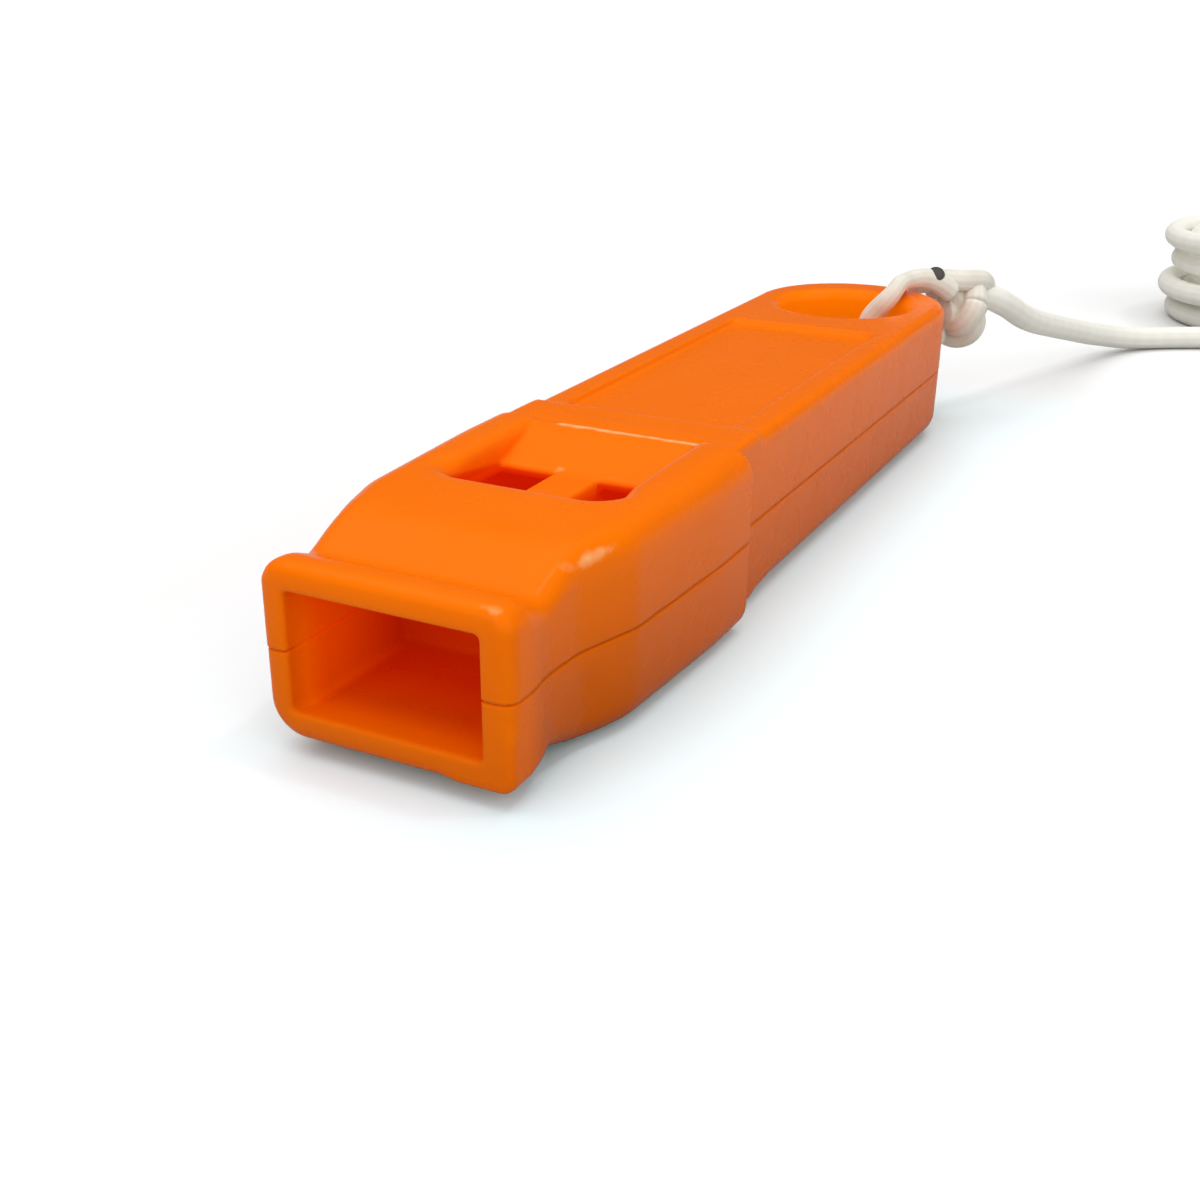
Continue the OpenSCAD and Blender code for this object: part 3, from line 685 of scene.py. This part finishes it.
# %% Shader helper
class Wire:
    """An output socket that can be reckoned with."""

    def __init__(self, graph, socket):
        self.graph, self.socket = graph, socket

    def math(self, operation, *others, reflected=False):
        values = [*others, self] if reflected else [self, *others]
        return self.graph.node("ShaderNodeMath", {"operation": operation}, values)

    def held(self, low=0.0, high=1.0):
        """The value, held between two limits."""
        return self.math("MAXIMUM", low).math("MINIMUM", high)

    def __add__(self, other):
        return self.math("ADD", other)

    def __sub__(self, other):
        return self.math("SUBTRACT", other)

    def __rsub__(self, other):
        return self.math("SUBTRACT", other, reflected=True)

    def __mul__(self, other):
        return self.math("MULTIPLY", other)

    def __truediv__(self, other):
        return self.math("DIVIDE", other)

    def __rtruediv__(self, other):
        return self.math("DIVIDE", other, reflected=True)

    __radd__ = __add__
    __rmul__ = __mul__


class Graph:
    """The nodes of a material or of the world, all made by one method."""

    def __init__(self, owner):
        owner.use_nodes = True
        self.owner, self.tree = owner, owner.node_tree
        self.tree.nodes.clear()

    def node(self, kind, settings=None, inputs=(), output=0):
        """Makes a node, sets its settings, then its sockets, by order or by name."""
        n = self.tree.nodes.new(kind)
        for key, value in (settings or {}).items():
            if key == "stops":
                ramp = n.color_ramp.elements
                while len(ramp) < len(value):
                    ramp.new(0.5)
                for stop, (place, colour) in zip(ramp, value):
                    stop.position, stop.color = place, (*colour, 1.0)
            else:
                setattr(n, key, value)
        for key, value in inputs.items() if isinstance(inputs, dict) else enumerate(inputs):
            if isinstance(value, Wire):
                self.tree.links.new(value.socket, n.inputs[key])
            else:
                n.inputs[key].default_value = value
        return Wire(self, n.outputs[output])

    def noise(self, at, scale, detail=2.0):
        """Soft noise of a size: about 1 / scale metres from one blot to the next."""
        return self.node("ShaderNodeTexNoise", inputs={"Vector": at, "Scale": scale, "Detail": detail})

    def blend(self, share, first, second):
        """A colour between two colours."""
        return self.node("ShaderNodeMix", {"data_type": "RGBA"}, {0: share, 6: first, 7: second}, output=2)

    def seen_directly(self):
        """1 for the camera's rays, and 1 for the rays that a gloss or a clear body sends on. Both
        are 0 for the rays that only carry light."""
        names = ("Is Camera Ray", "Is Glossy Ray", "Is Transmission Ray")
        camera_ray, glossy, clear = (self.node("ShaderNodeLightPath", output=name) for name in names)
        return camera_ray, (glossy + clear).math("MINIMUM", 1.0)

    def close(self, shader, kind="ShaderNodeOutputMaterial"):
        """Wires the shader to the output and counts the nodes."""
        out = self.tree.nodes.new(kind)
        self.tree.links.new(shader.socket, out.inputs["Surface"])
        print("graph:", self.owner.name, len(self.tree.nodes), "nodes")
        return self.owner


# %% [markdown]
# ## Glossy orange plastic
#
# The shells are dyed through, moulded and left unpainted. Such plastic is one colour, but never quite
# even: the melt flowed in from one end, fingers leave haze, and tool marks cross the polish. So the
# colour drifts by a few per cent, the roughness wanders, and a faint orange-peel bump breaks up the
# reflections. Light and shade are painted into the colour too. Low on the sides it is painted darker,
# as painted shade. Deep in the mouth and the windows it is painted darker and redder, as painted shade,
# with a weak painted red glow, and where a wall is thin a painted glow stands for light shining
# through. That light isn't computed: it is painted as a weak glow, placed by two marks that the mesh
# carries, one for the depth and one for the thin walls. Some edges get pale painted highlights.

# %% Colours of the plastic
# The plastic's own colours, then the painted shade low on the sides, the pale of painted highlights, and
# the painted shade deep in the pockets.
DYE, BRIGHT_DYE, LOW_SHADE_PAINT = (0.97, 0.166, 0.0, 1), (1.0, 0.19, 0.0, 1), (0.5, 0.082, 0.0, 1)
HIGHLIGHT_PAINT, POCKET_SHADE_PAINT = (1.0, 0.55, 0.22, 1), (0.68, 0.036, 0.0, 1)
# Colours of the painted glow: none, red deep in the pockets, and where a wall is thin at the hole and in
# the mouth.
NO_LIGHT, RED_GLOW_PAINT = (0.0, 0.0, 0.0, 1), (0.2, 0.008, 0.0, 1)
HOLE_GLOW_PAINT, MOUTH_GLOW_PAINT = (0.14, 0.065, 0.0, 1), (0.34, 0.03, 0.0, 1)
LOW_HEIGHT = 9.8
BELLY_FROM, BELLY_LENGTH, BELLY_SHARE = 24.0, 13.0, 0.33


# %% Orange plastic
def plastic():
    """The dye drifts between two oranges. Painted shade darkens it with (1 - height / 9.8 mm), most of all
    on the front section; painted highlights make it pale on some edges, and painted shade makes it red
    where deep, with a painted glow there and on thin walls."""
    g = Graph(bpy.data.materials.new("orange_plastic"))
    at = g.node("ShaderNodeTexCoord", output="Object")
    depth, through, wear = (g.node("ShaderNodeAttribute", {"attribute_name": name}, output="Fac")
                            for name in ("depth", "thin_wall", "wear"))
    along, height = (g.node("ShaderNodeSeparateXYZ", inputs=[at], output=k) for k in (1, 2))
    from_lip = along / MM + BODY_LENGTH / 2
    behind_lip = ((from_lip - 0.2) / 3).held(0.4)
    belly = ((BELLY_FROM - from_lip) / BELLY_LENGTH).held()
    # Painted shade: darker low on the sides, most of all on the front section.
    painted_low_shade = (1 - height / (LOW_HEIGHT * MM)).math("MAXIMUM", 0.0) * behind_lip
    painted_low_shade = painted_low_shade * (belly * BELLY_SHARE + (1 - BELLY_SHARE))
    stretched = g.node("ShaderNodeMapping", inputs={"Vector": at, "Scale": (1.0, 0.15, 1.0)})
    drift, flow = g.noise(at, 90.0, 3.0), g.noise(stretched, 420.0, 4.0)
    surface = g.blend(drift * 0.6 + flow * 0.4, DYE, BRIGHT_DYE)
    surface = g.blend(painted_low_shade, surface, LOW_SHADE_PAINT)
    # Pale painted highlights on some edges, broken up by fine noise.
    highlight_breakup = g.noise(at, 1300.0, 3.0)
    patchy = (wear * 1.4 + highlight_breakup * 1.6 - 1.25).held()
    highlighted = g.blend(patchy * 0.85, surface, HIGHLIGHT_PAINT)
    # Painted shade: the pockets are painted darker and redder.
    colour = g.blend(depth * depth, highlighted, POCKET_SHADE_PAINT)
    # Painted glow: red deep in the pockets, and where a wall is thin, as if light came through.
    redness = depth * (1.9 - depth * 1.6) + (depth - 0.85).math("MAXIMUM", 0.0) * 6
    painted_red_glow = g.blend(redness, NO_LIGHT, RED_GLOW_PAINT)
    through_glow_paint = g.blend((depth * 4).math("MINIMUM", 1.0), HOLE_GLOW_PAINT, MOUTH_GLOW_PAINT)
    peel, haze = g.noise(at, 700.0, 1.0), g.noise(at, 260.0, 5.0)
    bump = g.node("ShaderNodeBump", inputs={"Strength": 0.2, "Distance": 0.00003, "Height": peel})
    return g.close(g.node("ShaderNodeBsdfPrincipled", inputs={
        "Base Color": colour, "Roughness": haze * 0.14 + 0.2, "IOR": 1.46, "Specular IOR Level": 0.18,
        "Specular Tint": (1.0, 0.6, 0.3, 1), "Emission Color": g.blend(through, painted_red_glow, through_glow_paint),
        "Emission Strength": 1.0, "Normal": bump}))


orange = plastic()
for piece in (upper_shell, lower_shell):
    piece.data.materials.append(orange)


# %% [markdown]
# ## Pale braid
#
# The cord is a fine plaited sleeve, so its surface is two sets of strands that wind opposite ways
# and pass over and under each other. The tube's own UV gives the turn and the distance along, and two
# slanting waves on it give the strands, painted a little darker where they pass under, as painted
# shade in the grooves. The knot and the loop round the rim are a little browner and darker.

# %% Braid
WOUND_STRANDS, BRAID_PITCH = 5, 1.9
NEW_LIGHT, NEW_DARK = (0.97, 0.96, 0.88, 1), (0.86, 0.84, 0.75, 1)
BROWNER_LIGHT, BROWNER_DARK = (0.93, 0.91, 0.82, 1), (0.68, 0.63, 0.52, 1)


def braid(name, light, dark, diameter):
    """Two waves that wind opposite ways, sin 2pi(5 turn + along / pitch) and sin 2pi(5 turn - along
    / pitch), multiplied: high where one strand passes over, low where it passes under. The colour is
    darker where it is low: painted shade in the grooves."""
    g = Graph(bpy.data.materials.new(name))
    uv = g.node("ShaderNodeUVMap", {"uv_map": "lay"})
    turn, along = (g.node("ShaderNodeSeparateXYZ", inputs=[uv], output=k) for k in (0, 1))
    wound, climbed = turn * WOUND_STRANDS, along / (diameter * MM * BRAID_PITCH)
    one_way = ((wound + climbed) * (2 * math.pi)).math("SINE")
    other_way = ((wound - climbed) * (2 * math.pi)).math("SINE")
    height = one_way * other_way * 0.5 + 0.5
    at = g.node("ShaderNodeTexCoord", output="Object")
    fuzz, dirt = g.noise(at, 2600.0, 3.0), g.noise(at, 240.0, 3.0)
    # Darker where a strand passes under: painted shade in the grooves, with fuzz and dirt as random tone.
    colour = g.blend(height * 0.35 + fuzz * 0.3 + dirt * 0.35, dark, light)
    bump = g.node("ShaderNodeBump", inputs={
        "Strength": 0.4, "Distance": 0.0001, "Height": height + fuzz * 0.4})
    return g.close(g.node("ShaderNodeBsdfPrincipled", inputs={
        "Base Color": colour, "Roughness": fuzz * 0.2 + 0.65, "Normal": bump, "Specular IOR Level": 0.3}))


cord_finish = braid("pale_braid", NEW_LIGHT, NEW_DARK, CORD_D)
knot_finish = braid("browner_braid", BROWNER_LIGHT, BROWNER_DARK, CORD_D)
for piece, finish in ((loop, knot_finish), (knot, knot_finish), (lanyard, cord_finish),
                      (end_knot, cord_finish)):
    piece.data.materials.append(finish)


# %% [markdown]
# ## The melted end
#
# A cut cord is sealed with a flame. Its last millimetre turns to a dark, uneven, slightly shiny bead,
# and the fibres behind it are scorched. A ramp along the piece, pushed about by noise, gives both.

# %% Melted end
SCORCH = [(0.15, (0.6, 0.55, 0.45)), (0.4, (0.2, 0.18, 0.15)), (0.65, (0.075, 0.07, 0.065))]


def melted():
    g = Graph(bpy.data.materials.new("melted_end"))
    uv = g.node("ShaderNodeUVMap", {"uv_map": "lay"})
    along = g.node("ShaderNodeSeparateXYZ", inputs=[uv], output=1)
    at = g.node("ShaderNodeTexCoord", output="Object")
    blot = g.noise(at, 900.0, 4.0)
    share = along / run_length(tip_path) + (blot - 0.5) * 0.5
    colour = g.node("ShaderNodeValToRGB", {"stops": SCORCH}, [share])
    bump = g.node("ShaderNodeBump", inputs={"Strength": 0.5, "Distance": 0.0001, "Height": blot})
    return g.close(g.node("ShaderNodeBsdfPrincipled", inputs={
        "Base Color": colour, "Roughness": blot * 0.3 + 0.4, "Normal": bump}))


tip.data.materials.append(melted())


# %% [markdown]
# ## Table and light
#
# The photograph is a product shot on white: light from all round and from above on the left, a white
# table, and only a soft grey shadow close to the whistle. So the world gives even light and a wide
# soft light overhead, two weak and very wide suns fill in from the front and from the right, and a
# narrow one sets the small highlights. Orange plastic throws orange light on the table beside it,
# which the photograph doesn't show. The table is therefore a little cooler there for the camera, so
# that the two cancel and the shadow comes out grey. For the rays that only carry light it is a plain
# grey, and doesn't light the whistle from below more than a real one would.

# %% Table
TABLE_HALF = 4.0
GRAIN_DARK, GRAIN_LIGHT, BOUNCE = (0.915, 0.915, 0.915, 1), (0.93, 0.93, 0.93, 1), (0.5, 0.5, 0.5, 1)
COOL, COOL_GLOW = (0.915, 1.03, 1.075, 1), (0.0, 0.045, 0.04, 1)
COOL_LEFT, COOL_RAMP, COOL_BACK, COOL_FADE = -0.025, 0.03, 0.052, 0.02


def table_finish():
    g = Graph(bpy.data.materials.new("white_table"))
    camera_ray, _ = g.seen_directly()
    at = g.node("ShaderNodeTexCoord", output="Object")
    across, along = (g.node("ShaderNodeSeparateXYZ", inputs=[at], output=k) for k in (0, 1))
    beside = ((across - COOL_LEFT) / COOL_RAMP).held() * ((COOL_BACK - along) / COOL_FADE).held()
    seen = g.blend(beside, g.blend(g.noise(at, 60.0), GRAIN_DARK, GRAIN_LIGHT), COOL)
    matt = g.node("ShaderNodeBsdfDiffuse", inputs={"Color": g.blend(camera_ray, BOUNCE, seen)})
    glow = g.node("ShaderNodeEmission", inputs={"Color": COOL_GLOW, "Strength": camera_ray * beside})
    return g.close(g.node("ShaderNodeAddShader", inputs=[matt, glow]))


table_corners = [(-TABLE_HALF, -TABLE_HALF, 0), (TABLE_HALF, -TABLE_HALF, 0),
                 (TABLE_HALF, TABLE_HALF, 0), (-TABLE_HALF, TABLE_HALF, 0)]
table_mesh = bpy.data.meshes.new("table")
table_mesh.from_pydata(table_corners, [], [(0, 1, 2, 3)])
table = bpy.data.objects.new("table", table_mesh)
table_mesh.materials.append(table_finish())
bpy.context.scene.collection.objects.link(table)


# %% Lamps
def sun(name, place, energy, spread):
    """A sun that shines from a place towards the origin, with its spread in degrees."""
    data = bpy.data.lights.new(name, "SUN")
    data.energy, data.angle = energy, math.radians(spread)
    holder = bpy.data.objects.new(name, data)
    holder.location = place
    holder.rotation_euler = (-Vector(place)).to_track_quat("-Z", "Y").to_euler()
    bpy.context.scene.collection.objects.link(holder)
    print("sun:", name, energy)


sun("front_fill", (-0.08, -0.88, 0.46), 0.75, 50)
sun("right_fill", (0.8, -0.25, 0.55), 0.85, 60)
sun("spark", (0.32, 0.2, 0.92), 0.2, 4)


# %% The studio round it
SOFT_LIGHT_FROM = Vector((-0.22, 0.05, 0.97)).normalized()
SOFT_LIGHT_EDGE, SOFT_LIGHT_RAMP = 0.74, 0.16
AROUND, OVERHEAD, REFLECTED, WHITE = 0.3, 1.6, 0.04, (1, 1, 1, 1)


def studio():
    """Even light from all round and a wide soft light overhead for the matt surfaces, white for the
    camera, and for reflections a pale horizon that fades to dark overhead."""
    g = Graph(bpy.data.worlds.new("studio"))
    camera_ray, other_ray = g.seen_directly()
    way = g.node("ShaderNodeTexCoord", output="Generated")
    height = g.node("ShaderNodeSeparateXYZ", inputs=[way], output=2)
    near_horizon = (1 - (height - 0.03).math("MAXIMUM", 0.0) * 8).math("MAXIMUM", 0.0)
    toward = g.node("ShaderNodeVectorMath", {"operation": "DOT_PRODUCT"}, [way, tuple(SOFT_LIGHT_FROM)],
                    output="Value")
    overhead = ((toward - SOFT_LIGHT_EDGE) / SOFT_LIGHT_RAMP).held()
    light = (overhead * OVERHEAD + AROUND) * (1 - other_ray) + other_ray * REFLECTED
    ambient = g.node("ShaderNodeBackground", inputs={"Color": WHITE, "Strength": light})
    white = g.node("ShaderNodeBackground", inputs={"Color": WHITE, "Strength": 1.0})
    share = camera_ray + other_ray * near_horizon * 0.6
    return g.close(g.node("ShaderNodeMixShader", inputs=[share, ambient, white]), "ShaderNodeOutputWorld")


bpy.context.scene.world = studio()
bpy.context.scene.view_settings.view_transform = "Standard"
